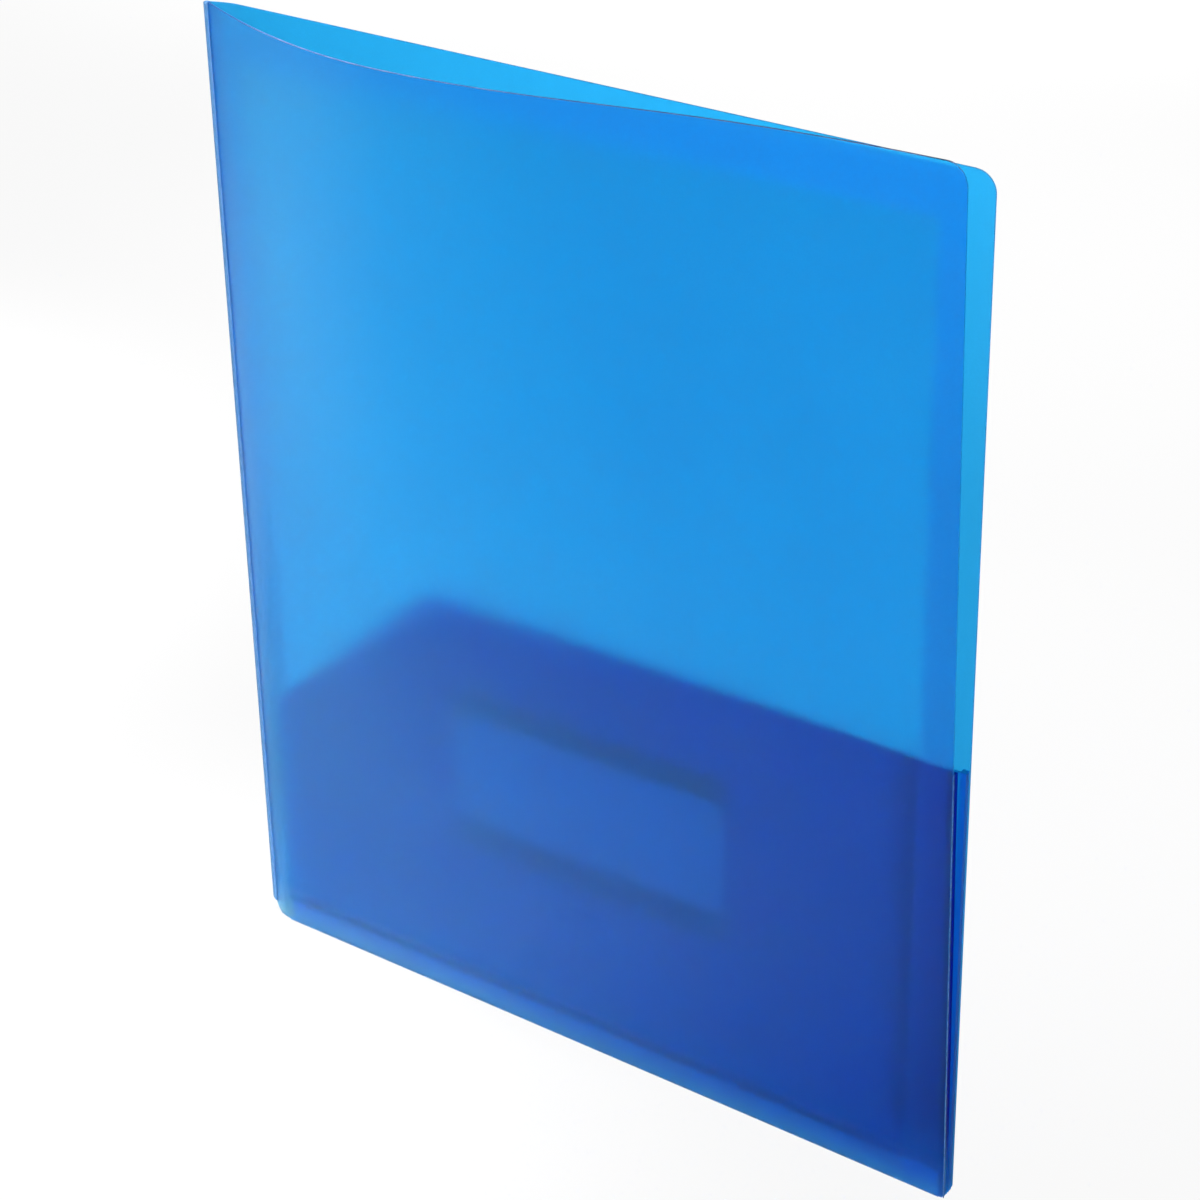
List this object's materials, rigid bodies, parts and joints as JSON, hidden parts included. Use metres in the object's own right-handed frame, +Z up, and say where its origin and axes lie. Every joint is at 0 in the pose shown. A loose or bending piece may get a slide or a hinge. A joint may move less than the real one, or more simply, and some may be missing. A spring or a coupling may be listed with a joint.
{
  "type": "two pocket folder",
  "caption": "Folder of frosted see-through blue plastic sheet, hinged at a creased spine, with a folded-up pocket inside each cover and a letter sheet standing in the back one.",
  "frame": {"origin": "centre of the object's box, at the height of the surface it stands on", "axes": "+X from the spine to the fore-edge, -Y out of the front cover, +Z up"},
  "size_m": [0.2422, 0.024, 0.296],
  "materials": {
    "frosted_sheet": "frosted translucent blue plastic sheet",
    "weld": "melted edge of the same sheet, a little clearer",
    "crease": "stress-whitened crease of the same sheet",
    "paper": "plain white writing paper",
    "label": "blank pale label with a darker band along top and bottom"
  },
  "bodies": {
    "back_half": {"back_cover": "frosted_sheet", "back_bottom_fold": "frosted_sheet", "back_pocket": "frosted_sheet", "back_edge_seal": "weld", "spine_crease": "crease"},
    "front_half": {"front_cover": "frosted_sheet", "front_bottom_fold": "frosted_sheet", "front_pocket": "frosted_sheet", "front_edge_seal": "weld", "pocket_label": "label"},
    "loose_sheet": {"insert_sheet": "paper"}
  },
  "joints": [
    {"name": "cover_hinge", "type": "hinge", "parent": "back_half", "child": "front_half", "pos_m": [-0.12033, 0.00928, 0], "axis": [0, 0, -1], "range_deg": [0, 270]},
    {"name": "sheet_slide", "type": "slide", "parent": "back_half", "child": "loose_sheet", "axis": [0, 0, 1], "range_m": [0, 0.14]}
  ]
}
